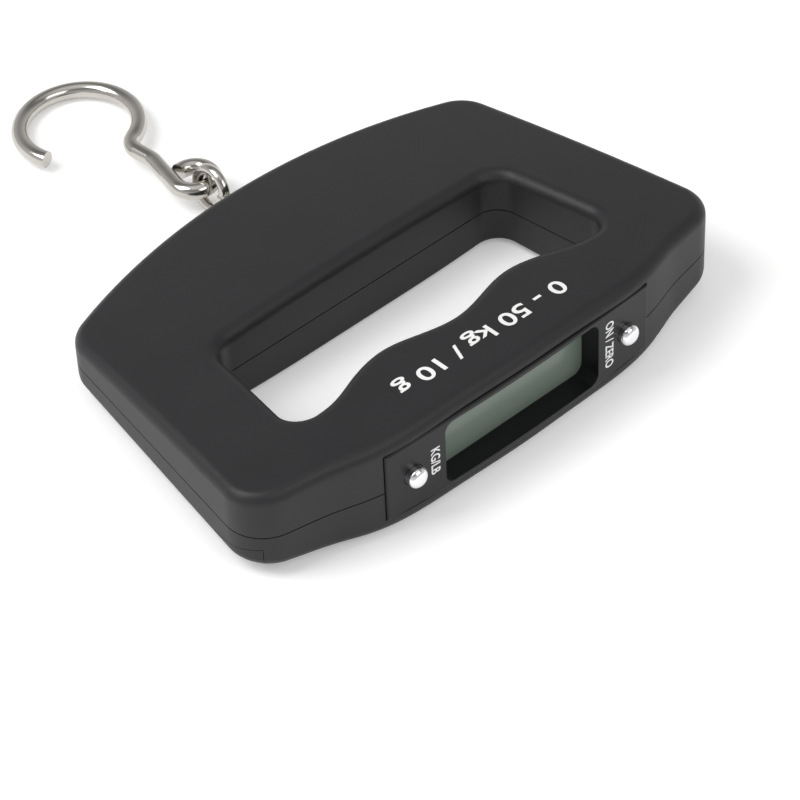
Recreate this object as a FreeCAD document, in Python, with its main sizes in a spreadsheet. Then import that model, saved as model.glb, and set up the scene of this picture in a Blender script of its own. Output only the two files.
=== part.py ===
"""Digital luggage scale: a two-shell handle body with a display panel, a load cell and a swivelling hook.

Design axes: the parting plane of the shells is horizontal, +Y runs from the display towards the hook, and
+Z is up through the front face. The rear face slopes, so every sub-part gets one placement that tips the
body onto its rear face and moves the origin to the middle of the footprint.
"""
import FreeCAD, Part
import math
import os
import re
import Sketcher
from FreeCAD import Placement, Rotation, Vector

doc = FreeCAD.newDocument("LuggageScale")
sheet = doc.addObject("Spreadsheet::Sheet", "Sizes")

SIZES = [
    # Body
    ("PanelHalf", 40.5, "display panel, half its width"),
    ("SeamHeight", 13.3, "parting plane above the rear face at the display edge"),
    ("WedgeAngle", 2.94, "rear face against the parting plane, degrees"),
    ("FlatHalf", 16, "flat middle of the rear face, half its width"),
    ("RearCrown", 405, "rear face beyond the flat, radius across"),
    ("FrontAcross", 893, "front face, radius across"),
    ("FrontAlong", 922, "front face, radius along"),
    ("CrestPlace", -25.9, "crest of the curve that the front face follows, from the display edge"),
    ("CrestHeight", 28.76, "highest point of the front face, height"),
    ("SideAtDisplay", 74.33, "side wall, half width at the display edge"),
    ("SideTaper", 0.142, "side wall, narrowing per length"),
    ("HookEdge", 96.25, "hook-side edge at the middle"),
    ("HookEdgeRadius", 161, "hook-side edge, plan radius"),
    ("CornerRadius", 10, "corners of the body, plan radius"),
    ("RimRadius", 3, "rounding of the front and rear edges"),
    ("OpeningRimRadius", 1.3, "rounding of the opening's rear edge"),
    ("Wall", 2, "shell wall"),
    ("SeamWidth", 0.3, "parting groove, width"),
    ("SeamDepth", 0.45, "parting groove, depth"),
    # Handle opening
    ("OpeningAtDisplay", 51.7, "handle opening, half width carried on to the display edge"),
    ("OpeningHookSide", 54.1, "handle opening, straight wall on the hook side"),
    ("OpeningTrough", 20.2, "handle opening, lowest finger groove"),
    ("OpeningCorner", 6.5, "handle opening, corners on the hook side"),
    ("GripCorner", 5.5, "handle opening, corners on the finger side"),
    # Display panel
    ("PanelAbove", 10.8, "panel above the parting plane, at its ends"),
    ("PanelBelow", 8.3, "panel below the parting plane, at its ends"),
    ("PanelCrown", 0.9, "panel's upper and lower edges, bow"),
    ("PanelBulge", 1.56, "panel's face, bow"),
    ("PanelBack", 3, "back of the panel plate"),
    ("PanelGap", 0.2, "gap round the panel"),
    ("WindowLength", 47.5, "display window, length"),
    ("WindowHeight", 18.2, "display window, height"),
    ("WindowCorner", 2.6, "display window, corners"),
    ("WindowDepth", 4.5, "back of the window's deep frame"),
    # Buttons
    ("ButtonPlace", 32.9, "buttons, distance from the middle"),
    ("ButtonRadius", 2.65, "button cap"),
    ("ButtonBore", 2.75, "button hole in the panel"),
    ("ButtonProud", 2.6, "button above the panel face"),
    # Display and circuit board
    ("GlassLength", 51, "display glass, length"),
    ("GlassHeight", 20.6, "display glass, height"),
    ("GlassThick", 2.6, "display glass, thickness"),
    ("FilmThick", 0.2, "polarising film, thickness"),
    ("LightThick", 3, "backlight, thickness"),
    ("BoardFace", 13, "front of the circuit board"),
    ("BoardThick", 1.2, "circuit board, thickness"),
    ("BoardLength", 81, "circuit board, length"),
    ("BoardHeight", 18, "circuit board, height"),
    # Batteries
    ("CellPlace", 58, "battery cells, distance from the middle"),
    ("CellStart", 14, "battery cells, flat end"),
    ("CellRadius", 5.25, "AAA cell, radius"),
    ("CellLength", 44.5, "AAA cell, length over the nub"),
    ("NubRadius", 1.9, "AAA cell's nub, radius"),
    ("NubLength", 1.2, "AAA cell's nub, length"),
    ("CoverInner", 51.5, "battery cover, edge beside the opening"),
    ("CoverOuter", 63, "battery cover, edge beside the side wall"),
    ("CoverStart", 9, "battery cover, end beside the display"),
    ("CoverEnd", 59, "battery cover, end beside the hook"),
    ("CoverWrapEnd", 48, "battery cover, end of the part that wraps up the side wall"),
    ("CoverWrapTop", 11.4, "battery cover, height of the wrap carried on to the display edge"),
    ("CoverWrapFall", 0.178, "battery cover, fall of the wrap per length"),
    ("CoverGap", 0.12, "gap round a battery cover"),
    ("BayReach", 19, "wall at the end of a battery bay, across the arm"),
    ("BayThick", 1.4, "wall at the end of a battery bay, thickness"),
    # Load cell and hook
    ("BoltHeight", 12.4, "eye bolt's axis above the rear face's datum"),
    ("BoltRadius", 2, "eye bolt's shank"),
    ("BoltPlay", 0.06, "eye bolt's running clearance in the load cell"),
    ("RingCentre", 107.3, "eye bolt's ring, distance from the display edge"),
    ("RingRadius", 5.05, "eye bolt's ring, centre line"),
    ("RingWire", 1.4, "eye bolt's ring, wire radius"),
    ("RingLean", 10, "eye bolt's ring, lean to one side, degrees"),
    ("BeamStart", 69.65, "load cell beam, face nearer the display"),
    ("BeamDepth", 12.7, "load cell beam, along the pull"),
    ("BeamHeight", 10, "load cell beam, front to rear"),
    ("BeamFixedEnd", 44, "load cell beam, fixed end from the middle"),
    ("BeamFreeEnd", 8, "load cell beam, free end past the middle"),
    ("HookWire", 2.1, "hook, wire radius"),
    ("HookBend", 14.8, "hook, large bend, centre line"),
    ("HookNeck", 5, "hook, bend between the neck and the large bend"),
    ("HookKnee", 12.2, "hook, from the eye to the knee in the neck"),
    ("HookKneeBend", 8, "hook, bend at the knee"),
    ("HookEye", 4.84, "hook, eye, centre line"),
    ("HookFloorGap", 0.03, "hook above the surface it lies on"),
    # Screws
    ("ScrewShank", 1.3, "case screw, shank radius"),
    ("ScrewHead", 2.5, "case screw, head radius"),
    ("ScrewSeat", 2.6, "case screw, seat above the rear face"),
    # Footprint
    ("FootprintMiddle", 82.479, "middle of the footprint from the display edge"),
]

for row, (alias, value, note) in enumerate(SIZES, 1):
    sheet.set(f"A{row}", note)
    sheet.set(f"B{row}", str(value))
    sheet.setAlias(f"B{row}", alias)
doc.recompute()

size = {alias: float(sheet.get(alias)) for alias, _, _ in SIZES}
wedge = math.radians(size["WedgeAngle"])
tip_to_rear_face = Rotation(Vector(1, 0, 0), -size["WedgeAngle"])
row_placement = Placement(Vector(0, -size["FootprintMiddle"], 0), tip_to_rear_face)


# ---------------------------------------------------------------- small helpers

def formula(text):
    """An expression in which each capitalised word is a cell of the sheet."""
    return re.sub(r"[A-Z][A-Za-z]+", lambda word: "Sizes." + word.group(0), text)


def place(item, x, y, z):
    for letter, text in zip("xyz", (x, y, z)):
        item.setExpression("Placement.Base." + letter, formula(text))


def box(name, x, y, z):
    """A block: along each axis, its lowest coordinate and its extent."""
    item = doc.addObject("Part::Box", name)
    place(item, x[0], y[0], z[0])
    item.setExpression("Length", formula(x[1]))
    item.setExpression("Width", formula(y[1]))
    item.setExpression("Height", formula(z[1]))
    return item


TURN_TO = {"x": Rotation(Vector(0, 1, 0), 90), "y": Rotation(Vector(1, 0, 0), -90), "z": Rotation()}


def rod(name, along, start, radius, length):
    """A cylinder that runs from start along one axis."""
    item = doc.addObject("Part::Cylinder", name)
    item.Placement = Placement(Vector(), TURN_TO[along])
    place(item, *start)
    item.setExpression("Radius", formula(radius))
    item.setExpression("Height", formula(length))
    return item


def fuse(name, *items):
    item = doc.addObject("Part::MultiFuse", name)
    item.Shapes = list(items)
    return item


def common(name, *items):
    item = doc.addObject("Part::MultiCommon", name)
    item.Shapes = list(items)
    return item


def cut(name, base, *tools):
    item = doc.addObject("Part::Cut", name)
    item.Base = base
    item.Tool = tools[0] if len(tools) == 1 else fuse(name + "_tools", *tools)
    return item


def round_edges(name, base, edges, radius):
    """A fillet on the numbered edges of a shape."""
    return round_each(name, base, [(number, radius) for number in edges])


def round_each(name, base, edges):
    """A fillet on the numbered edges of a shape, each with its own radius."""
    item = doc.addObject("Part::Fillet", name)
    item.Base = base
    item.Edges = [(number, radius, radius) for number, radius in edges]
    doc.recompute()
    return item


def line(a, b):
    return Part.LineSegment(Vector(*a, 0), Vector(*b, 0))


def arc(a, middle, b):
    return Part.Arc(Vector(*a, 0), Vector(*middle, 0), Vector(*b, 0))


def spline(points, start_slope=None, end_slope=None):
    """A smooth curve through points, at given slopes at its two ends where they are stated."""
    curve = Part.BSplineCurve()
    through = [Vector(*point, 0) for point in points]
    if start_slope is None:
        curve.interpolate(through)
    else:
        curve.interpolate(Points=through, InitialTangent=Vector(1, start_slope, 0),
                          FinalTangent=Vector(1, end_slope, 0))
    return curve


PLANES = {
    "xy": Rotation(),
    "xz": Rotation(Vector(1, 0, 0), 90),
    "yz": Rotation(Vector(1, 1, 1), 120),
}


def sketch(name, plane, curves):
    item = doc.addObject("Sketcher::SketchObject", name)
    item.Placement = Placement(Vector(), PLANES[plane])
    item.addGeometry(curves, False)
    return item


def polygon(name, plane, corners):
    return sketch(name, plane, [line(a, b) for a, b in zip(corners, corners[1:] + corners[:1])])


def extrude(name, profile, direction, start, length):
    """A solid from a profile, swept along a direction from start for length (both along it)."""
    item = doc.addObject("Part::Extrusion", name)
    item.Base = profile
    item.DirMode = "Custom"
    item.Dir = Vector(*direction)
    item.Solid = True
    item.setExpression("LengthRev", formula("-(" + start + ")"))
    item.setExpression("LengthFwd", formula("(" + start + ") + (" + length + ")"))
    return item


def offset(name, profile, distance):
    """A profile grown by distance, or shrunk where it is negative, with its corners kept sharp."""
    item = doc.addObject("Part::Offset2D", name)
    item.Source = profile
    item.Join = "Intersection"
    item.setExpression("Value", formula(distance))
    return item


def mirror(name, item):
    """The same piece on the other side of the body."""
    copy = doc.addObject("Part::Mirroring", name)
    copy.Source = item
    copy.Normal = Vector(1, 0, 0)
    return copy


def both_sides(name, item):
    return [item, mirror(name + "_mirrored", item)]


nodes = []


def node(name, *items):
    """One named sub-part of the object, standing in the object's own frame."""
    item = doc.addObject("Part::Compound", "node_" + name)
    item.Label = name
    item.Links = list(items)
    item.Placement = row_placement
    nodes.append(item)
    return item


def rear_height(x, y):
    """Height of the rear face above the design datum."""
    beyond_flat = max(abs(x) - size["FlatHalf"], 0)
    crown = size["RearCrown"] - math.sqrt(size["RearCrown"] ** 2 - beyond_flat ** 2)
    return y * math.tan(wedge) + crown


# ---------------------------------------------------------------- body envelope

def upright_edges(item, corners, reach):
    """Numbers of the vertical edges that stand within reach of the given plan corners."""
    doc.recompute()
    found = []
    for number, edge in enumerate(item.Shape.Edges, 1):
        foot, top = edge.Vertexes[0].Point, edge.Vertexes[-1].Point
        upright = math.hypot(top.x - foot.x, top.y - foot.y) < 0.001 < abs(top.z - foot.z)
        if upright and any(math.hypot(foot.x - x, foot.y - y) < reach for x, y in corners):
            found.append(number)
    return found


# The display edge in plan: bowed over the panel, then a shallow wave out to a straight run at each end.
DISPLAY_EDGE = [(0, -1.0), (20.25, -0.6), (40.5, 0.55), (46, 1.9), (52, 3.8), (60, 5.6)]
EDGE_END_SLOPE = 0.2

# The finger side of the handle opening: three grooves with two ridges between them.
GRIP = [(0, 21.25), (9, 22.9), (18.5, 25.1), (31, 22.7), (41.5, size["OpeningTrough"])]


def flipped(point):
    return (-point[0], point[1])


def symmetric_curve(right_half, end_slope, shift):
    """A spline through the points and their mirror images, moved sideways by shift along its normals."""
    through = [flipped(point) for point in reversed(right_half[1:])] + right_half
    curve = spline(through, -end_slope, end_slope)
    moved = []
    for x, y in through:
        tangent = curve.tangent(curve.parameter(Vector(x, y, 0)))[0]
        moved.append((x - tangent.y * shift, y + tangent.x * shift))
    return spline(moved, -end_slope, end_slope), moved[-1]


def body_outline(name, inset):
    """The body's plan, drawn inset from the true outline, with sharp corners."""
    edge, edge_end = symmetric_curve(DISPLAY_EDGE, EDGE_END_SLOPE, inset)
    radius = size["HookEdgeRadius"] - inset
    taper = size["SideTaper"]
    side_start = size["SideAtDisplay"] - inset * math.hypot(1, taper)
    intercept = edge_end[1] - EDGE_END_SLOPE * edge_end[0]
    corner_x = (side_start - taper * intercept) / (1 + taper * EDGE_END_SLOPE)
    display_corner = (corner_x, intercept + EDGE_END_SLOPE * corner_x)
    apex = size["HookEdge"] - inset
    corner_y = apex
    for _ in range(20):
        corner_y = apex - radius + math.sqrt(radius ** 2 - (side_start - taper * corner_y) ** 2)
    hook_corner = (side_start - taper * corner_y, corner_y)
    plan = sketch(name, "xy", [
        edge,
        line(edge_end, display_corner),
        line(display_corner, hook_corner),
        arc(hook_corner, (0, apex), flipped(hook_corner)),
        line(flipped(hook_corner), flipped(display_corner)),
        line(flipped(display_corner), flipped(edge_end)),
    ])
    return plan, [display_corner, flipped(display_corner), hook_corner, flipped(hook_corner)]


def opening_outline(name, outset):
    """The handle opening's plan, drawn outset from the true outline, with sharp corners."""
    grip, grip_end = symmetric_curve(GRIP, 0, -outset)
    taper = size["SideTaper"]
    end_start = size["OpeningAtDisplay"] + outset * math.hypot(1, taper)
    display_corner = (end_start - taper * grip_end[1], grip_end[1])
    hook_y = size["OpeningHookSide"] + outset
    hook_corner = (end_start - taper * hook_y, hook_y)
    plan = sketch(name, "xy", [
        grip,
        line(grip_end, display_corner),
        line(display_corner, hook_corner),
        line(hook_corner, flipped(hook_corner)),
        line(flipped(hook_corner), flipped(display_corner)),
        line(flipped(display_corner), flipped(grip_end)),
    ])
    return plan, [display_corner, flipped(display_corner)], [hook_corner, flipped(hook_corner)]


BELOW = "-20"
TALL = "70"


def body_prism(name, inset):
    """The body's plan, shrunk by inset, as an upright prism with round corners."""
    plan, corners = body_outline(name + "Plan", inset)
    sharp = extrude(name + "Sharp", plan, (0, 0, 1), BELOW, TALL)
    return round_edges(name, sharp, upright_edges(sharp, corners, 1), size["CornerRadius"] - inset)


def opening_prism(name, outset):
    """The handle opening's plan, grown by outset, as an upright prism with round corners."""
    plan, grip_corners, hook_corners = opening_outline(name + "Plan", outset)
    sharp = extrude(name + "Sharp", plan, (0, 0, 1), BELOW, TALL)
    grip_edges = upright_edges(sharp, grip_corners, 1)
    half = round_edges(name + "Half", sharp, grip_edges, size["GripCorner"] + outset)
    return round_edges(name, half, upright_edges(half, hook_corners, 1), size["OpeningCorner"] + outset)


def front_slab(name, inset):
    """Everything under the crowned front face, lowered by inset."""
    radius = size["FrontAlong"] - inset
    centre = (size["CrestPlace"], size["CrestHeight"] - size["FrontAlong"])

    def crest(y):
        return (y, centre[1] + math.sqrt(radius ** 2 - (y - centre[0]) ** 2))

    low, high, floor = -15, 115, -30
    profile = sketch(name + "_profile", "yz", [
        line((low, floor), (high, floor)),
        line((high, floor), crest(high)),
        spline([crest(y) for y in (high, 82, 50, 18, low)]),
        line(crest(low), (low, floor)),
    ])
    item = doc.addObject("Part::Revolution", name)
    item.Source = profile
    item.Axis = Vector(0, 1, 0)
    item.Base = Vector(0, 0, size["CrestHeight"] - size["FrontAcross"])
    item.Angle = 12
    item.Symmetric = True
    item.Solid = True
    return item


def rear_block(name, inset):
    """Everything below the rear face raised by inset: flat in the middle and crowned to each side."""
    radius = size["RearCrown"] - inset
    flat, far, deep = size["FlatHalf"], 90, -60

    def face(x):
        return (x, inset + radius - math.sqrt(radius ** 2 - (abs(x) - flat) ** 2))

    profile = sketch(name + "_profile", "xz", [
        line((-far, deep), (far, deep)),
        line((far, deep), face(far)),
        arc(face(far), face((far + flat) / 2), face(flat)),
        line(face(flat), face(-flat)),
        arc(face(-flat), face(-(far + flat) / 2), face(-far)),
        line(face(-far), (-far, deep)),
    ])
    return extrude(name, profile, (0, math.cos(wedge), math.sin(wedge)), "-15", "140")


def rim_edges(item):
    """Edges where the upright walls meet the front and rear faces, each with its radius."""
    doc.recompute()
    shape = item.Shape
    rims = []
    for face in shape.Faces:
        u_low, u_high, v_low, v_high = face.ParameterRange
        normal = face.normalAt((u_low + u_high) / 2, (v_low + v_high) / 2)
        if abs(normal.z) > 0.001:
            continue
        for edge in face.Edges:
            a, b = edge.Vertexes[0].Point, edge.Vertexes[-1].Point
            if math.hypot(a.x - b.x, a.y - b.y) > abs(a.z - b.z):
                rims.append(edge)
    found = []
    for number, edge in enumerate(shape.Edges, 1):
        if any(edge.isSame(rim) for rim in rims):
            centre = edge.BoundBox.Center
            along = size["OpeningTrough"] - 1 < centre.y < size["OpeningHookSide"] + 1
            at_opening = along and abs(centre.x) < size["OpeningAtDisplay"]
            sharper = at_opening and centre.z < size["SeamHeight"]
            found.append((number, size["OpeningRimRadius" if sharper else "RimRadius"]))
    return found


wall = size["Wall"]
envelope_block = common("EnvelopeBlock", body_prism("BodyPrism", 0), front_slab("FrontSlab", 0))
envelope_sharp = cut("EnvelopeSharp", envelope_block,
                     rear_block("RearBlock", 0), opening_prism("OpeningPrism", 0))
cavity_block = common("CavityBlock", body_prism("CavityPrism", wall), front_slab("CavitySlab", wall))
cavity = cut("Cavity", cavity_block, rear_block("CavityFloor", wall), opening_prism("CavityOpening", wall))

# ---------------------------------------------------------------- shells

def seam_groove():
    """The parting groove: a thin layer of everything but the body's core, set in from every wall."""
    layer = box("SeamLayer", ("-100", "200"), ("-20", "140"), ("SeamHeight - SeamWidth / 2", "SeamWidth"))
    core = cut("SeamCore", body_prism("SeamInner", size["SeamDepth"]),
               opening_prism("SeamOpening", size["SeamDepth"]))
    return cut("SeamGroove", layer, core)


def panel_outline():
    half = size["PanelHalf"]
    top = size["SeamHeight"] + size["PanelAbove"]
    bottom = size["SeamHeight"] - size["PanelBelow"]
    crown = size["PanelCrown"]
    return sketch("PanelOutline", "xz", [
        arc((-half, bottom), (0, bottom - crown), (half, bottom)),
        line((half, bottom), (half, top)),
        arc((half, top), (0, top + crown), (-half, top)),
        line((-half, top), (-half, bottom)),
    ])


# Case screws: two beside the panel, two at the ends of the arms and two beside the hook.
SCREW_PLACES = [(47, 12), (57, 67), (26, 87)]
screw_places = [(side * x, y) for x, y in SCREW_PLACES for side in (1, -1)]

# Feet of the load cell bracket stand on two bosses of the rear shell.
FOOT_PLACES = [(-40, 61.5), (-28, 61.5)]

envelope = round_each("Envelope", envelope_sharp, rim_edges(envelope_sharp))
groove = seam_groove()
panel_profile = panel_outline()
panel_zone = extrude("PanelZone", offset("PanelZonePlan", panel_profile, "PanelGap"), (0, 1, 0), "-5", "11")
bolt_zone = rod("BoltZone", "y", ("0", "HookEdge - 8", "BoltHeight"), "BoltRadius + 0.6", "12")

front_half = box("FrontHalf", ("-100", "200"), ("-20", "140"), ("SeamHeight", "40"))
rear_half = box("RearHalf", ("-100", "200"), ("-20", "140"), ("SeamHeight - 40", "40"))


def at(value):
    """A worked-out coordinate as an expression."""
    return f"{value:.4f}"


def screw_posts(name, radius, start, length, places):
    return [rod(f"{name}{i}", "z", (at(x), at(y), start), radius, length)
            for i, (x, y) in enumerate(places)]


def front_shell():
    blank = common("FrontBlank", envelope, front_half)
    posts = fuse("FrontPosts", *screw_posts("FrontPost", "3.2", "SeamHeight", "30", screw_places))
    walls = cut("FrontWalls", blank, cavity)
    solid = fuse("FrontSolid", walls, common("FrontPostsTrimmed", posts, blank))
    pilots = screw_posts("FrontPilot", "ScrewShank", "SeamHeight - 1", "6", screw_places)
    return cut("FrontShell", solid, groove, panel_zone, bolt_zone, *pilots)


def cover_zone(name, gap):
    """Where a battery cover sits: a plate in the rear face and a wedge that wraps up the side wall."""
    plate = box(name + "_plate",
                (f"CoverInner + {gap}", f"CoverOuter - CoverInner - 2 * {gap}"),
                (f"CoverStart + {gap}", f"CoverEnd - CoverStart - 2 * {gap}"), ("-5", "16"))
    start, reach = size["CoverStart"] + gap, size["CoverWrapEnd"]

    def top(y):
        return size["CoverWrapTop"] - size["CoverWrapFall"] * y - gap

    side = polygon(name + "_side", "yz", [(start, -5), (reach, -5), (reach, top(reach)), (start, top(start))])
    wrap = extrude(name + "_wrap", side, (1, 0, 0), f"CoverInner + {gap}", "30")
    return fuse(name, plate, wrap)


def rear_shell():
    blank = common("RearBlank", envelope, rear_half)
    walls = cut("RearWalls", blank, cavity)
    openings = both_sides("CoverZone", cover_zone("CoverZone", 0))
    skin = cut("RearSkin", walls, *openings)
    posts = screw_posts("RearPost", "4", "-5", "SeamHeight + 5", screw_places)
    feet = screw_posts("RearFoot", "3", "-5", "BoltHeight - BeamHeight / 2 + 5", FOOT_PLACES)
    bay = box("BayWall", ("CellPlace - BayReach / 2", "BayReach"), ("CoverEnd + 0.4", "BayThick"),
              ("0", "SeamHeight"))
    ribs = common("RearRibs", fuse("RearRibsWhole", *posts, *feet, *both_sides("BayWall", bay)), blank)
    solid = fuse("RearSolid", skin, ribs)
    holes = screw_posts("RearHole", "ScrewShank + 0.15", "-5", "SeamHeight + 6", screw_places)
    seats = [rod(f"RearSeat{i}", "z", (at(x), at(y), "-5"), "ScrewHead + 0.3",
                 at(rear_height(x, y) + size["ScrewSeat"] + 5))
             for i, (x, y) in enumerate(screw_places)]
    pilots = [rod(f"FootPilot{i}", "z", (at(x), at(y), at(rear_height(x, y) + 1.2)), "ScrewShank", "8")
              for i, (x, y) in enumerate(FOOT_PLACES)]
    return cut("RearShell", solid, groove, panel_zone, bolt_zone, *holes, *seats, *pilots)


def battery_cover(name):
    """A cover is the skin of the rear shell inside its zone, with three grip grooves across it."""
    skin = cut(name + "_skin", common(name + "_blank", envelope, rear_half), cavity)
    plate = common(name + "_cover", skin, cover_zone(name + "_zone", size["CoverGap"]))
    grips = []
    for i in range(3):
        y = 49 + 2.4 * i
        low = rear_height(59, y)
        grips.append(rod(f"{name}_grip{i}", "x", ("54.5", at(y), at(low - 0.25)), "0.8", "9"))
    return cut(name, plate, *grips)


shell_front = front_shell()
shell_rear = rear_shell()
cover_right = battery_cover("CoverRight")
node("front_shell", shell_front)
node("rear_shell", shell_rear)
node("battery_cover_right", cover_right)
node("battery_cover_left", mirror("CoverLeft", cover_right))

# Case screws: pan heads in their seats, shanks into the front posts.
screws = []
for i, (x, y) in enumerate(screw_places):
    seat = rear_height(x, y) + size["ScrewSeat"]
    head = rod(f"ScrewHead{i}", "z", (at(x), at(y), at(seat - 1.7)), "ScrewHead", "1.7")
    slot = box(f"ScrewSlot{i}", (at(x - 1.6), "3.2"), (at(y - 0.35), "0.7"), (at(seat - 2), "1.1"))
    cross = box(f"ScrewCross{i}", (at(x - 0.35), "0.7"), (at(y - 1.6), "3.2"), (at(seat - 2), "1.1"))
    shank = rod(f"ScrewShank{i}", "z", (at(x), at(y), at(seat)), "ScrewShank",
                at(size["SeamHeight"] + 4.5 - seat))
    screws.append(cut(f"Screw{i}", fuse(f"ScrewBlank{i}", head, shank), slot, cross))
node("case_screws", *screws)

# ---------------------------------------------------------------- display panel

panel_middle = "(SeamHeight + (PanelAbove - PanelBelow) / 2)"
BOARD_SCREW_X = 38.3
BOARD_SCREW_RISE = 6.2
board_screw_places = [(sx * BOARD_SCREW_X, sz * BOARD_SCREW_RISE) for sx in (1, -1) for sz in (1, -1)]


def edges_along(item, axis, accept):
    """Numbers of the straight edges along one axis whose middle is accepted."""
    doc.recompute()
    found = []
    for number, edge in enumerate(item.Shape.Edges, 1):
        a, b = edge.Vertexes[0].Point, edge.Vertexes[-1].Point
        reach = b - a
        if reach.Length > 0.01 and abs(abs(reach.dot(axis)) - reach.Length) < 0.001 and accept((a + b) / 2):
            found.append(number)
    return found


def rounded_bar(name, x, y, z, radius):
    """A block along Y whose four long edges are round."""
    bar = box(name + "_sharp", x, y, z)
    return round_edges(name, bar, edges_along(bar, Vector(0, 1, 0), lambda middle: True), radius)


def display_panel():
    """The plate with its bowed face, the window's deep frame, a retaining flange and board bosses."""
    plate = extrude("PanelPlate", panel_profile, (0, 1, 0), "-5", "PanelBack + 5")
    bow = (size["PanelHalf"] ** 2 + size["PanelBulge"] ** 2) / (2 * size["PanelBulge"])
    bulge = rod("PanelBulge", "z", ("0", at(bow - size["PanelBulge"]), "-5"), at(bow), "50")
    face = common("PanelFace", plate, bulge)
    doc.recompute()
    front_rim = [n for n, edge in enumerate(face.Shape.Edges, 1)
                 if edge.Length > 10 and edge.valueAt(edge.ParameterRange[0]).y < 0.2
                 and edge.valueAt(edge.ParameterRange[1]).y < 0.2]
    softened = round_edges("PanelSoftened", face, front_rim, 0.5)
    flange = extrude("PanelFlange", offset("PanelFlangePlan", panel_profile, "1"), (0, 1, 0), "PanelBack + 0.3", "1.2")
    neck = extrude("PanelNeck", offset("PanelNeckPlan", panel_profile, "-1"), (0, 1, 0), "PanelBack - 1", "2")
    frame = box("WindowFrame", ("-WindowLength / 2 - 1.5", "WindowLength + 3"), ("0.5", "WindowDepth - 0.5"),
                (panel_middle + " - WindowHeight / 2 - 0.9", "WindowHeight + 1.8"))
    bosses = [rod(f"BoardBoss{i}", "y", (at(x), "PanelBack - 1", panel_middle + f" + {z}"), "1.9",
                  "BoardFace - PanelBack + 1") for i, (x, z) in enumerate(board_screw_places)]
    pilots = [rod(f"BoardPilot{i}", "y", (at(x), "BoardFace - 5", panel_middle + f" + {z}"), "0.8", "6")
              for i, (x, z) in enumerate(board_screw_places)]
    window = rounded_bar("Window", ("-WindowLength / 2", "WindowLength"), ("-6", "WindowDepth + 8"),
                         (panel_middle + " - WindowHeight / 2", "WindowHeight"), size["WindowCorner"])
    bores = [rod(f"ButtonBore{i}", "y", (f"{side} * ButtonPlace", "-6", panel_middle), "ButtonBore", "14")
             for i, side in enumerate((1, -1))]
    solid = fuse("PanelSolid", softened, flange, neck, frame, *bosses)
    return cut("DisplayPanel", solid, window, *bores, *pilots)


node("display_panel", display_panel())

# Glass, film and backlight stacked behind the window's frame, and the strip that connects them to the board.
glass_z = (panel_middle + " - GlassHeight / 2", "GlassHeight")
node("lcd_film", box("Film", ("-GlassLength / 2 + 1", "GlassLength - 2"), ("WindowDepth", "FilmThick"),
                     (panel_middle + " - GlassHeight / 2 + 1", "GlassHeight - 1.6")))
node("lcd_glass", box("Glass", ("-GlassLength / 2", "GlassLength"), ("WindowDepth + FilmThick", "GlassThick"), glass_z))
light_start = "WindowDepth + FilmThick + GlassThick"
node("lcd_backlight", box("Backlight", ("-GlassLength / 2 + 1", "GlassLength - 2"), (light_start, "LightThick"),
                          (panel_middle + " - GlassHeight / 2 + 3", "GlassHeight - 3.5")))
node("lcd_connector", box("Connector", ("-GlassLength / 2 + 3", "GlassLength - 6"),
                          (light_start, f"BoardFace - ({light_start})"),
                          (panel_middle + " - GlassHeight / 2 + 0.4", "2.2")))

# Circuit board with the processor and the two tactile switches.
board = box("Board", ("-BoardLength / 2", "BoardLength"), ("BoardFace", "BoardThick"),
            (panel_middle + " - BoardHeight / 2", "BoardHeight"))
board_holes = [rod(f"BoardHole{i}", "y", (at(x), "BoardFace - 1", panel_middle + f" + {z}"), "0.95", "4")
               for i, (x, z) in enumerate(board_screw_places)]
node("circuit_board", cut("CircuitBoard", board, *board_holes))
board_screws = []
for i, (x, z) in enumerate(board_screw_places):
    head = rod(f"BoardScrewHead{i}", "y", (at(x), "BoardFace + BoardThick", panel_middle + f" + {z}"), "1.6", "1.1")
    shank = rod(f"BoardScrewShank{i}", "y", (at(x), "BoardFace + BoardThick - 5", panel_middle + f" + {z}"), "0.8", "5")
    board_screws.append(fuse(f"BoardScrew{i}", head, shank))
node("board_screws", *board_screws)
node("processor_chip", box("Chip", ("-6", "12"), ("BoardFace + BoardThick", "1.5"), (panel_middle + " - 6", "12")))

SWITCH_HEIGHT = "3.5"
PLUNGER_PROUD = "0.8"
switches = []
for name, side in (("Power", "1"), ("Unit", "-1")):
    housing = box(name + "Switch", (f"{side} * ButtonPlace - 3", "6"), (f"BoardFace - {SWITCH_HEIGHT}", SWITCH_HEIGHT),
                  (panel_middle + " - 3", "6"))
    bore = rod(name + "SwitchBore", "y", (f"{side} * ButtonPlace", "BoardFace - 5", panel_middle), "1.55", "4.6")
    switches.append(cut(name + "SwitchBody", housing, bore))
node("tact_switches", *switches)


def button(name, side):
    """A domed cap in the panel's bore, held in by a flange, with a stem that reaches its switch."""
    centre = side * size["ButtonPlace"]
    face = -size["PanelBulge"] * (1 - (centre / size["PanelHalf"]) ** 2)
    tip = face - size["ButtonProud"]
    cap = rod(name + "_cap", "y", (at(centre), at(tip), panel_middle), "ButtonRadius", at(size["PanelBack"] + 0.35 - tip))
    doc.recompute()
    crown = [n for n, edge in enumerate(cap.Shape.Edges, 1)
             if edge.BoundBox.YLength < 0.01 and abs(edge.BoundBox.YMin - tip) < 0.01]
    domed = round_edges(name + "_domed", cap, crown, 1.5)
    flange = rod(name + "_flange", "y", (at(centre), "PanelBack + 1.55", panel_middle), "3.6", "0.9")
    stem = rod(name + "_stem", "y", (at(centre), "PanelBack", panel_middle), "1.8",
               f"BoardFace - {SWITCH_HEIGHT} - {PLUNGER_PROUD} - PanelBack")
    return fuse(name, domed, flange, stem)


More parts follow.
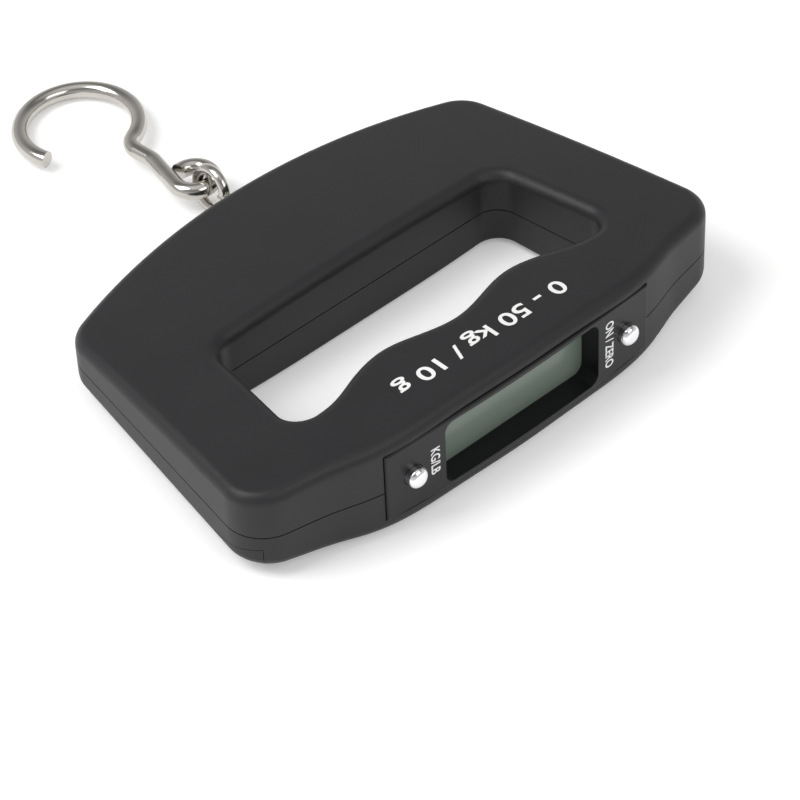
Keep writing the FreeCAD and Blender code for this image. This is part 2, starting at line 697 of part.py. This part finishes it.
for name, side in (("power", 1), ("unit", -1)):
    node(name + "_button", button(name.capitalize() + "Button", side))
    node(name + "_plunger", rod(name.capitalize() + "Plunger", "y",
                                (f"{side} * ButtonPlace", f"BoardFace - {SWITCH_HEIGHT} - {PLUNGER_PROUD}", panel_middle),
                                "1.5", "3"))

# ---------------------------------------------------------------- batteries

cell_body = rod("CellBody", "y", ("CellPlace", "CellStart", "SeamHeight"), "CellRadius", "CellLength - NubLength")
cell_nub = rod("CellNub", "y", ("CellPlace", "CellStart + CellLength - NubLength - 0.1", "SeamHeight"),
               "NubRadius", "NubLength + 0.1")
cell_right = fuse("CellRight", cell_body, cell_nub)
node("battery_cell_right", cell_right)
node("battery_cell_left", mirror("CellLeft", cell_right))

plate = box("ContactPlate", ("CellPlace - 4.5", "9"), ("CellStart + CellLength", "0.4"), ("SeamHeight - 4.5", "9"))
node("battery_plates", *both_sides("ContactPlate", plate))

SPRING_TURNS = 3
spring_seat = box("SpringSeat", ("CellPlace - 4.5", "9"), ("CellStart - 3.9", "0.4"), ("SeamHeight - 4.5", "9"))
coil = doc.addObject("Part::Helix", "SpringCoil")
coil.Radius = 3.6
coil.Angle = -18
coil.Height = 3
coil.Pitch = 3 / SPRING_TURNS
coil.SegmentLength = 1
coil.Placement = Placement(Vector(), TURN_TO["y"])
place(coil, "CellPlace", "CellStart - 3.3", "SeamHeight")
wire = doc.addObject("Part::Circle", "SpringWire")
wire.Radius = 0.28
wire.Placement = Placement(Vector(), Rotation())
place(wire, "CellPlace + 3.6", "CellStart - 3.3", "SeamHeight")
doc.recompute()
spring = doc.addObject("Part::Sweep", "Spring")
spring.Sections = [wire]
spring.Spine = (coil, [f"Edge{n + 1}" for n in range(SPRING_TURNS)])
spring.Solid = True
spring.Frenet = True
node("battery_springs", *both_sides("SpringSeat", spring_seat), *both_sides("Spring", spring))

# ---------------------------------------------------------------- load cell

beam_z = ("BoltHeight - BeamHeight / 2", "BeamHeight")
beam = box("Beam", ("-BeamFixedEnd", "BeamFixedEnd + BeamFreeEnd"), ("BeamStart", "BeamDepth"), beam_z)
BEAM_SCREWS = (-40, -28)
beam_middle = "(BeamStart + BeamDepth / 2)"
window_holes = [rod(f"BeamHole{i}", "z", (at(x), beam_middle, "0"), "4.4", "30") for i, x in enumerate((-20.5, -11.5))]
window_slot = box("BeamSlot", ("-20.5", "9"), (beam_middle + " - 1.5", "3"), ("0", "30"))
bolt_bore = rod("BeamBoltBore", "y", ("0", "BeamStart - 1", "BoltHeight"), "BoltRadius + BoltPlay", "BeamDepth + 2")
beam_pilots = [rod(f"BeamPilot{i}", "y", (at(x), "BeamStart - 1", "BoltHeight"), "ScrewShank + 0.2", "10")
               for i, x in enumerate(BEAM_SCREWS)]
node("load_cell", cut("LoadCell", beam, *window_holes, window_slot, bolt_bore, *beam_pilots))

gauges = []
for i, x in enumerate((-20.5, -11.5)):
    for j, y in enumerate(("BeamStart - 0.12", "BeamStart + BeamDepth")):
        gauges.append(box(f"Gauge{i}{j}", (at(x - 2.5), "5"), (y, "0.12"), ("BoltHeight - 2", "4")))
node("strain_gauges", *gauges)

bracket_web = box("BracketWeb", ("-BeamFixedEnd", "20"), ("BeamStart - 2", "2"), beam_z)
bracket_foot = box("BracketFoot", ("-BeamFixedEnd", "20"), ("BeamStart - 12.5", "12.5"), (beam_z[0], "1.5"))
web_holes = [rod(f"WebHole{i}", "y", (at(x), "BeamStart - 3", "BoltHeight"), "ScrewShank + 0.2", "4")
             for i, x in enumerate(BEAM_SCREWS)]
foot_holes = screw_posts("FootHole", "ScrewShank", "5", "6", FOOT_PLACES)
node("load_cell_bracket", cut("Bracket", fuse("BracketBlank", bracket_web, bracket_foot), *web_holes, *foot_holes))

beam_screws = []
for i, x in enumerate(BEAM_SCREWS):
    head = rod(f"BeamScrewHead{i}", "y", (at(x), "BeamStart - 4", "BoltHeight"), "ScrewHead", "2")
    shank = rod(f"BeamScrewShank{i}", "y", (at(x), "BeamStart - 2", "BoltHeight"), "ScrewShank + 0.2", "10")
    beam_screws.append(fuse(f"BeamScrew{i}", head, shank))
node("load_cell_screws", *beam_screws)

foot_top = "BoltHeight - BeamHeight / 2 + 1.5"
foot_screws = []
for i, (x, y) in enumerate(FOOT_PLACES):
    head = rod(f"FootScrewHead{i}", "z", (at(x), at(y), foot_top), "ScrewHead - 0.2", "1.6")
    tip = rear_height(x, y) + 1.5
    shank = rod(f"FootScrewShank{i}", "z", (at(x), at(y), at(tip)), "ScrewShank", f"{foot_top} - {tip:.4f}")
    foot_screws.append(fuse(f"FootScrew{i}", head, shank))
node("bracket_screws", *foot_screws)

# ---------------------------------------------------------------- eye bolt and hook

ring_centre = Vector(0, size["RingCentre"], size["BoltHeight"])
ring = doc.addObject("Part::Torus", "Ring")
ring.setExpression("Radius1", formula("RingRadius"))
ring.setExpression("Radius2", formula("RingWire"))
ring.Placement = Placement(ring_centre, Rotation(Vector(0, 1, 0), 90 + size["RingLean"]))
WASHER = "1"
NUT = "3.2"
bolt_tail = f"(BeamStart - 0.05 - {WASHER} - {NUT} - 1)"
bolt = rod("Bolt", "y", ("0", bolt_tail, "BoltHeight"), "BoltRadius",
           f"RingCentre - RingRadius + 0.9 - {bolt_tail}")
collar = rod("BoltCollar", "y", ("0", "HookEdge + 0.8", "BoltHeight"), "BoltRadius + 0.9", "2.2")
node("eye_bolt", fuse("EyeBolt", bolt, collar, ring))

washer = rod("WasherBlank", "y", ("0", f"BeamStart - 0.05 - {WASHER}", "BoltHeight"), "4.5", WASHER)
washer_hole = rod("WasherHole", "y", ("0", "BeamStart - 5", "BoltHeight"), "BoltRadius", "10")
node("eye_bolt_washer", cut("Washer", washer, washer_hole))
nut = doc.addObject("Part::Prism", "NutBlank")
nut.Polygon = 6
nut.Circumradius = 4.04
nut.setExpression("Height", NUT)
nut.Placement = Placement(Vector(), TURN_TO["y"])
place(nut, "0", f"BeamStart - 0.05 - {WASHER} - {NUT}", "BoltHeight")
nut_hole = rod("NutHole", "y", ("0", "BeamStart - 8", "BoltHeight"), "BoltRadius", "10")
node("eye_bolt_nut", cut("Nut", nut, nut_hole))

# The hook's centre line, flat in its own plane, with the ring's centre as origin and the load along +Y.
EYE = Vector(-0.3, 6.1, 0)
BEND = Vector(-6.5, 42.9, 0)
NECK_LEAN = math.radians(12)
KNEE_LEAN = math.radians(-4.1)
TIP_ANGLE = math.radians(199)
EYE_END = math.radians(100)


def on_circle(centre, radius, angle):
    return centre + Vector(radius * math.cos(angle), radius * math.sin(angle), 0)


def leaning(angle):
    """Unit vectors along a line that leans to the right of +Y by an angle, and across it to its right."""
    return Vector(math.sin(angle), math.cos(angle), 0), Vector(math.cos(angle), -math.sin(angle), 0)


def hook_path():
    """Tip, large bend, neck bend, neck with a knee in it, then round the eye until the wire meets the neck."""
    bend, neck, eye, knee_bend = size["HookBend"], size["HookNeck"], size["HookEye"], size["HookKneeBend"]
    lower_along, lower_across = leaning(NECK_LEAN)
    upper_along, upper_across = leaning(KNEE_LEAN)
    neck_foot = EYE - lower_across * eye
    knee = neck_foot + lower_along * size["HookKnee"]
    half_turn = (NECK_LEAN - KNEE_LEAN) / 2
    knee_start = knee - lower_along * (knee_bend * math.tan(half_turn))
    knee_end = knee + upper_along * (knee_bend * math.tan(half_turn))
    knee_centre = knee_start - lower_across * knee_bend
    knee_middle = knee_centre + (knee - knee_centre).normalize() * knee_bend
    reach = (neck + upper_across.dot(knee - BEND)) / (bend + neck)
    turn_angle = -math.acos(reach) - KNEE_LEAN
    neck_centre = on_circle(BEND, bend + neck, turn_angle)
    inflection = on_circle(BEND, bend, turn_angle)
    neck_end = neck_centre - upper_across * neck
    neck_middle = on_circle(neck_centre, neck, (math.pi + turn_angle + math.pi - KNEE_LEAN) / 2)
    eye_start = math.pi - NECK_LEAN
    eye_stop = 2 * math.pi + EYE_END
    return [
        Part.Arc(on_circle(BEND, bend, TIP_ANGLE), on_circle(BEND, bend, math.radians(70)), inflection),
        Part.Arc(inflection, neck_middle, neck_end),
        Part.LineSegment(neck_end, knee_end),
        Part.Arc(knee_end, knee_middle, knee_start),
        Part.LineSegment(knee_start, neck_foot),
        Part.Arc(neck_foot, on_circle(EYE, eye, (eye_start + 2 * math.pi) / 2), on_circle(EYE, eye, 2 * math.pi)),
        Part.Arc(on_circle(EYE, eye, 2 * math.pi), on_circle(EYE, eye, (2 * math.pi + eye_stop) / 2),
                 on_circle(EYE, eye, eye_stop)),
    ]


# The hook droops from the ring until its large bend lies on the surface under the body.
ring_height = ring_centre.z * math.cos(wedge) - ring_centre.y * math.sin(wedge)
far_reach = BEND.y + size["HookBend"]
droop = math.degrees(math.asin((ring_height - size["HookWire"] - size["HookFloorGap"]) / far_reach))
hook_plane = Placement(ring_centre, Rotation(Vector(1, 0, 0), size["WedgeAngle"] - droop))

route = doc.addObject("Sketcher::SketchObject", "HookRoute")
route.Placement = hook_plane
route.addGeometry(hook_path(), False)
tip_point = on_circle(BEND, size["HookBend"], TIP_ANGLE)
section = doc.addObject("Part::Circle", "HookSection")
section.setExpression("Radius", formula("HookWire"))
section.Placement = hook_plane * Placement(tip_point, Rotation(Vector(0, 0, 1), math.degrees(TIP_ANGLE))
                                           * Rotation(Vector(1, 0, 0), 90))
doc.recompute()
hook = doc.addObject("Part::Sweep", "Hook")
hook.Sections = [section]
hook.Spine = (route, [f"Edge{n + 1}" for n in range(len(route.Shape.Edges))])
hook.Solid = True
hook.Frenet = False
node("hook", hook)

# ---------------------------------------------------------------- checks and files

doc.recompute()
for item in doc.Objects:
    if "Invalid" in item.State or "Error" in item.State:
        raise RuntimeError(f"{item.Name} did not build: {item.State}")
for item in nodes:
    if item.Shape.isNull() or not item.Shape.isValid() or not item.Shape.Solids:
        raise RuntimeError(f"{item.Label} has no valid solid")

os.makedirs("parts", exist_ok=True)
for item in nodes:
    item.Shape.exportStep(f"parts/{item.Label}.step")
    print(f"{item.Label}: {len(item.Shape.Solids)} solids, {item.Shape.Volume:.1f} mm3")

whole = Part.makeCompound([item.Shape for item in nodes]).optimalBoundingBox(False, False)
print("footprint y", round(whole.YMin, 3), round(whole.YMax, 3), "x", round(whole.XMin, 3), round(whole.XMax, 3),
      "z", round(whole.ZMin, 3), round(whole.ZMax, 3))
print("ring centre", row_placement.multVec(ring_centre))
print("bolt axis", tip_to_rear_face.multVec(Vector(0, 1, 0)))
print("ring axis", (tip_to_rear_face * Rotation(Vector(0, 1, 0), size["RingLean"])).multVec(Vector(1, 0, 0)))
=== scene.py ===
"""Looks of the digital luggage scale: finishes, lettering, floor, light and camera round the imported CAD."""

import math

import bmesh
import bpy
from mathutils import Matrix, Vector
from mathutils.bvhtree import BVHTree


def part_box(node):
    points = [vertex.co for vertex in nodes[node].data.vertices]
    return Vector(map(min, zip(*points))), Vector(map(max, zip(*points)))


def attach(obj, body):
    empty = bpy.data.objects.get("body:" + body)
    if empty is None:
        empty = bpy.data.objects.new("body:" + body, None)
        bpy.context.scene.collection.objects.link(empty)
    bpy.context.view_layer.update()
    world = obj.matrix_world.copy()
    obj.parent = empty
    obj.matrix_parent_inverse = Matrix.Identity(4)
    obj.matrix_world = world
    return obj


MM = 0.001

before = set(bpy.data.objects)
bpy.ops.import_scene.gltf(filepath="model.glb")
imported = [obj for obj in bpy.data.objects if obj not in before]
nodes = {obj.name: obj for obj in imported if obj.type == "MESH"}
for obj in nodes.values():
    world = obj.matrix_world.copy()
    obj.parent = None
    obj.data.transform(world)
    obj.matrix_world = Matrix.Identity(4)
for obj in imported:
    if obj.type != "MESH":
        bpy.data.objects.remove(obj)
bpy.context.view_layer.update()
scene = bpy.context.scene

# ---------------------------------------------------------------- the design frame of the body

# The body is drawn with its parting plane level and y = 0 at the display edge, then tipped onto its rear face.
WEDGE = math.radians(2.94)
FOOTPRINT_MIDDLE = 82.479
TIP = Matrix.Rotation(-WEDGE, 3, "X")


def direction(x, y, z):
    """A direction of the design frame, in the row frame."""
    return TIP @ Vector((x, y, z))


def point(x, y, z):
    """A place given in millimetres of the design frame, in metres of the row frame."""
    return (TIP @ Vector((x, y, z)) - Vector((0, FOOTPRINT_MIDDLE, 0))) * MM


# ---------------------------------------------------------------- camera

# Angles, distance and target are in the design frame, in degrees and millimetres; azimuth 0 looks along +Y.
CAMERA_AZIMUTH = math.radians(-40.716)
CAMERA_ELEVATION = math.radians(43.502)
CAMERA_ROLL = math.radians(-2.681)
CAMERA_DISTANCE = 837.6
CAMERA_TARGET = (1.957, 43.498, -15.896)
SENSOR = 36
LENS = 159.04


def make_camera():
    data = bpy.data.cameras.new("camera")
    data.sensor_width = SENSOR
    data.lens = LENS
    data.clip_start, data.clip_end = 0.01, 20
    camera = bpy.data.objects.new("camera", data)
    scene.collection.objects.link(camera)
    level = math.cos(CAMERA_ELEVATION)
    back = Vector((math.sin(CAMERA_AZIMUTH) * level, -math.cos(CAMERA_AZIMUTH) * level,
                   math.sin(CAMERA_ELEVATION)))
    right = (-back).cross(Vector((0, 0, 1))).normalized()
    up = right.cross(-back)
    turned_right = right * math.cos(CAMERA_ROLL) + up * math.sin(CAMERA_ROLL)
    turned_up = up * math.cos(CAMERA_ROLL) - right * math.sin(CAMERA_ROLL)
    axes = [TIP @ axis for axis in (turned_right, turned_up, back)]
    place = point(*(Vector(CAMERA_TARGET) + back * CAMERA_DISTANCE))
    turn = Matrix(axes).transposed()
    camera.matrix_world = Matrix.Translation(place) @ turn.to_4x4()
    scene.camera = camera


make_camera()

# ---------------------------------------------------------------- floor and light

FLOOR_SIZE = 6
FLOOR_WHITE = (0.86, 0.86, 0.855, 1)
FLOOR_GLOW = 0.25

# The studio's brightness by the sine of the height above the horizon, from the horizon to overhead.
SKY = [(0.0, 0.78), (0.35, 0.70), (0.55, 0.48), (0.76, 0.18), (1.0, 0.50)]
SKY_STRENGTH = 0.9


def node_tree(name):
    material = bpy.data.materials.new(name)
    material.use_nodes = True
    return material, material.node_tree.nodes, material.node_tree.links


def make_floor():
    bpy.ops.mesh.primitive_plane_add(size=FLOOR_SIZE)
    floor = bpy.context.object
    floor.name = "floor"
    material, parts, links = node_tree("floor_paper")
    shader = parts["Principled BSDF"]
    shader.inputs["Base Color"].default_value = FLOOR_WHITE
    shader.inputs["Roughness"].default_value = 0.9
    shader.inputs["Emission Color"].default_value = (1, 1, 1, 1)
    shader.inputs["Emission Strength"].default_value = FLOOR_GLOW
    grain = parts.new("ShaderNodeTexNoise")
    grain.inputs["Scale"].default_value = 900
    bump = parts.new("ShaderNodeBump")
    bump.inputs["Strength"].default_value = 0.08
    bump.inputs["Distance"].default_value = 0.0002
    links.new(grain.outputs["Fac"], bump.inputs["Height"])
    links.new(bump.outputs["Normal"], shader.inputs["Normal"])
    floor.data.materials.append(material)


def soft_light(name, place, width, length, watts):
    """A rectangular light aimed at the middle of the footprint."""
    data = bpy.data.lights.new(name, "AREA")
    data.shape = "RECTANGLE"
    data.size, data.size_y = width, length
    data.energy = watts
    lamp = bpy.data.objects.new(name, data)
    scene.collection.objects.link(lamp)
    lamp.location = place
    lamp.rotation_mode = "QUATERNION"
    lamp.rotation_quaternion = (-Vector(place)).to_track_quat("-Z", "Y")


def make_lights():
    soft_light("key", (-0.75, 0.45, 1.1), 0.7, 0.9, 14)
    soft_light("side", (0.15, -0.9, 1.0), 0.9, 0.6, 4)
    world = bpy.data.worlds.new("studio")
    scene.world = world
    world.use_nodes = True
    parts, links = world.node_tree.nodes, world.node_tree.links
    where = parts.new("ShaderNodeTexCoord")
    split = parts.new("ShaderNodeSeparateXYZ")
    ramp = parts.new("ShaderNodeValToRGB")
    for index, (height, level) in enumerate(SKY):
        stop = ramp.color_ramp.elements[0] if index == 0 else ramp.color_ramp.elements.new(height)
        stop.position = height
        stop.color = (level, level, level, 1)
    ramp.color_ramp.elements.remove(ramp.color_ramp.elements[-1])
    links.new(where.outputs["Generated"], split.inputs["Vector"])
    links.new(split.outputs["Z"], ramp.inputs["Fac"])
    links.new(ramp.outputs["Color"], parts["Background"].inputs["Color"])
    parts["Background"].inputs["Strength"].default_value = SKY_STRENGTH


make_floor()
make_lights()
scene.view_settings.view_transform = "Standard"

# ---------------------------------------------------------------- materials


GRAIN = 2500.0
GRAIN_DEPTH = 0.03 * MM


def surface(name, dark, light, rough, metal=0.0, patch=60.0, bump=0.1, **sockets):
    """A surface with slow colour change, uneven gloss and a fine grain, all by object position.

    Colour runs from dark to light and roughness over the pair in rough; patch sets the size of the slow
    change, bump the strength of the grain, and sockets other inputs of the shader.
    """
    material, parts, links = node_tree(name)
    shader = parts["Principled BSDF"]
    shader.inputs["Metallic"].default_value = metal
    for socket, value in sockets.items():
        shader.inputs[socket.replace("_", " ")].default_value = value
    where = parts.new("ShaderNodeTexCoord")
    slow = parts.new("ShaderNodeTexNoise")
    slow.inputs["Scale"].default_value = patch
    slow.inputs["Detail"].default_value = 3
    fine = parts.new("ShaderNodeTexNoise")
    fine.inputs["Scale"].default_value = GRAIN
    fine.inputs["Detail"].default_value = 2
    for noise in (slow, fine):
        links.new(where.outputs["Object"], noise.inputs["Vector"])
    colour = parts.new("ShaderNodeMix")
    colour.data_type = "RGBA"
    colour.inputs["A"].default_value = (*dark, 1)
    colour.inputs["B"].default_value = (*light, 1)
    links.new(slow.outputs["Fac"], colour.inputs["Factor"])
    links.new(colour.outputs["Result"], shader.inputs["Base Color"])
    gloss = parts.new("ShaderNodeMapRange")
    gloss.inputs["To Min"].default_value, gloss.inputs["To Max"].default_value = rough
    links.new(slow.outputs["Fac"], gloss.inputs["Value"])
    links.new(gloss.outputs["Result"], shader.inputs["Roughness"])
    relief = parts.new("ShaderNodeBump")
    relief.inputs["Strength"].default_value = bump
    relief.inputs["Distance"].default_value = GRAIN_DEPTH
    links.new(fine.outputs["Fac"], relief.inputs["Height"])
    links.new(relief.outputs["Normal"], shader.inputs["Normal"])
    return material


CASE = surface("case_plastic", (0.0155, 0.0155, 0.0170), (0.0205, 0.0205, 0.0220), (0.42, 0.50), bump=0.25,
               Specular_IOR_Level=0.30)
PANEL = surface("panel_plastic", (0.0080, 0.0080, 0.0090), (0.0110, 0.0110, 0.0120), (0.30, 0.38), bump=0.12,
                Specular_IOR_Level=0.27)
FILM = surface("display_film", (0.160, 0.201, 0.168), (0.181, 0.225, 0.189), (0.16, 0.22), bump=0.02)
GLASS = surface("display_glass", (0.70, 0.75, 0.72), (0.74, 0.79, 0.76), (0.03, 0.06), bump=0.01,
                Transmission_Weight=1.0, IOR=1.5)
CHROME = surface("button_chrome", (0.82, 0.82, 0.84), (0.90, 0.90, 0.92), (0.10, 0.17), metal=1, bump=0.03)
NICKEL = surface("hook_nickel", (0.46, 0.44, 0.41), (0.60, 0.575, 0.54), (0.12, 0.22), metal=1, patch=180,
                 bump=0.06)
ZINC = surface("screw_zinc", (0.42, 0.42, 0.44), (0.56, 0.56, 0.58), (0.25, 0.40), metal=1, patch=400)
MILLED = surface("beam_aluminium", (0.72, 0.73, 0.74), (0.82, 0.83, 0.84), (0.28, 0.38), metal=1)
LAMINATE = surface("board_laminate", (0.020, 0.110, 0.050), (0.030, 0.150, 0.070), (0.30, 0.40), patch=500,
                   bump=0.2)
RESIN = surface("chip_resin", (0.020, 0.020, 0.021), (0.030, 0.030, 0.031), (0.55, 0.65))
DIFFUSER = surface("diffuser", (0.74, 0.75, 0.77), (0.80, 0.81, 0.83), (0.40, 0.50))
RUBBER = surface("connector_rubber", (0.09, 0.09, 0.10), (0.13, 0.13, 0.14), (0.70, 0.80))
FOIL = surface("gauge_foil", (0.42, 0.24, 0.08), (0.55, 0.34, 0.12), (0.25, 0.35), patch=900)
PRINT = surface("white_print", (0.78, 0.78, 0.77), (0.86, 0.86, 0.85), (0.45, 0.55), bump=0.05)

COPPER = (0.50, 0.24, 0.08, 1)
BAND_START = 0.68


def cell_jacket():
    """A battery's jacket: a copper-coloured band at one end, dark grey over the rest, in glossy film."""
    material = surface("cell_jacket", (0.05, 0.05, 0.055), (0.07, 0.07, 0.075), (0.18, 0.26))
    parts, links = material.node_tree.nodes, material.node_tree.links
    shader = parts["Principled BSDF"]
    jacket = shader.inputs["Base Color"].links[0].from_socket
    where = next(part for part in parts if part.type == "TEX_COORD")
    split = parts.new("ShaderNodeSeparateXYZ")
    band = parts.new("ShaderNodeMath")
    band.operation = "GREATER_THAN"
    low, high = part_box("battery_cell_right")
    band.inputs[1].default_value = low.y + (high.y - low.y) * BAND_START
    mix = parts.new("ShaderNodeMix")
    mix.data_type = "RGBA"
    mix.inputs["B"].default_value = COPPER
    links.new(where.outputs["Object"], split.inputs["Vector"])
    links.new(split.outputs["Y"], band.inputs[0])
    links.new(band.outputs["Value"], mix.inputs["Factor"])
    links.new(jacket, mix.inputs["A"])
    links.new(mix.outputs["Result"], shader.inputs["Base Color"])
    return material


FINISHES = {
    CASE: ("front_shell", "rear_shell", "battery_cover_right", "battery_cover_left"),
    PANEL: ("display_panel",),
    FILM: ("lcd_film",),
    GLASS: ("lcd_glass",),
    DIFFUSER: ("lcd_backlight",),
    RUBBER: ("lcd_connector",),
    CHROME: ("power_button", "unit_button"),
    NICKEL: ("hook", "eye_bolt", "eye_bolt_washer", "eye_bolt_nut"),
    ZINC: ("case_screws", "board_screws", "load_cell_screws", "bracket_screws", "load_cell_bracket",
           "battery_plates", "battery_springs"),
    MILLED: ("load_cell",),
    FOIL: ("strain_gauges",),
    LAMINATE: ("circuit_board",),
    RESIN: ("processor_chip", "tact_switches", "power_plunger", "unit_plunger"),
    cell_jacket(): ("battery_cell_right", "battery_cell_left"),
}

SHARP_ANGLE = math.radians(28)
SAME_POINT = 0.0004 * MM


def smooth(piece):
    """Smooth shading inside each surface, sharp only where two surfaces really meet at an edge."""
    bpy.context.view_layer.objects.active = piece
    if piece.data.has_custom_normals:
        bpy.ops.mesh.customdata_custom_splitnormals_clear()
    piece.data.shade_smooth()
    weld = piece.modifiers.new("weld", "WELD")
    weld.merge_threshold = SAME_POINT
    split = piece.modifiers.new("edges", "EDGE_SPLIT")
    split.use_edge_sharp = False
    split.split_angle = SHARP_ANGLE
    weighted = piece.modifiers.new("normals", "WEIGHTED_NORMAL")
    weighted.mode = "FACE_AREA"
    weighted.keep_sharp = True


for material, names in FINISHES.items():
    for name in names:
        piece = nodes[name]
        piece.data.materials.clear()
        piece.data.materials.append(material)
        smooth(piece)

# ---------------------------------------------------------------- lettering

# Heights in millimetres about the surface: the ink's upper and lower faces, and where the rays start.
PRINT_RAISE = 0.05
PRINT_SINK = 0.06
PRINT_CLEAR = 10


def tree_of(node_name):
    mesh = nodes[node_name].data
    return BVHTree.FromPolygons([v.co for v in mesh.vertices], [p.vertices for p in mesh.polygons])


def lettering(name, words, weight, height, length, middle, along, up, node_name):
    """Raised print on a node's surface: height by length millimetres, its middle over a design-frame place.

    The words run along one design-frame direction with their tops towards another; weight thickens strokes.
    """
    curve = bpy.data.curves.new(name, "FONT")
    curve.body = words
    curve.align_x, curve.align_y = "CENTER", "CENTER"
    curve.extrude = 0.5
    curve.offset = weight
    curve.resolution_u = 6
    source = bpy.data.objects.new(name + "_source", curve)
    scene.collection.objects.link(source)
    bpy.context.view_layer.update()
    depsgraph = bpy.context.evaluated_depsgraph_get()
    mesh = bpy.data.meshes.new_from_object(source.evaluated_get(depsgraph))
    bpy.data.objects.remove(source)
    xs = [v.co.x for v in mesh.vertices]
    ys = [v.co.y for v in mesh.vertices]
    across, rise = (max(xs) + min(xs)) / 2, (max(ys) + min(ys)) / 2
    x_scale, y_scale = length / (max(xs) - min(xs)), height / (max(ys) - min(ys))
    along, up = direction(*along), direction(*up)
    outward = along.cross(up)
    tree = tree_of(node_name)
    start = point(*middle)
    for vertex in mesh.vertices:
        offset = along * (vertex.co.x - across) * x_scale + up * (vertex.co.y - rise) * y_scale
        above = start + offset * MM + outward * PRINT_CLEAR * MM
        hit = tree.ray_cast(above, -outward)[0]
        vertex.co = hit + outward * MM * (PRINT_RAISE if vertex.co.z > 0 else -PRINT_SINK)
    shape = bmesh.new()
    shape.from_mesh(mesh)
    bmesh.ops.remove_doubles(shape, verts=shape.verts, dist=0.001 * MM)
    bmesh.ops.recalc_face_normals(shape, faces=shape.faces)
    shape.to_mesh(mesh)
    shape.free()
    mesh.materials.clear()
    mesh.materials.append(PRINT)
    piece = bpy.data.objects.new(name, mesh)
    scene.collection.objects.link(piece)
    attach(piece, "case")


lettering("capacity_print", "0 - 50 kg / 10 g", 0.014, 6.0, 50.5, (-1, 11.5, 28), (-1, 0, 0), (0, -1, 0),
          "front_shell")
lettering("power_print", "ON / ZERO", 0.016, 2.7, 13.8, (27.4, -1, 14.6), (0, 0, -1), (1, 0, 0),
          "display_panel")
lettering("unit_print", "KG/LB", 0.016, 2.6, 7.7, (-26.7, -1, 14.9), (0, 0, -1), (1, 0, 0),
          "display_panel")
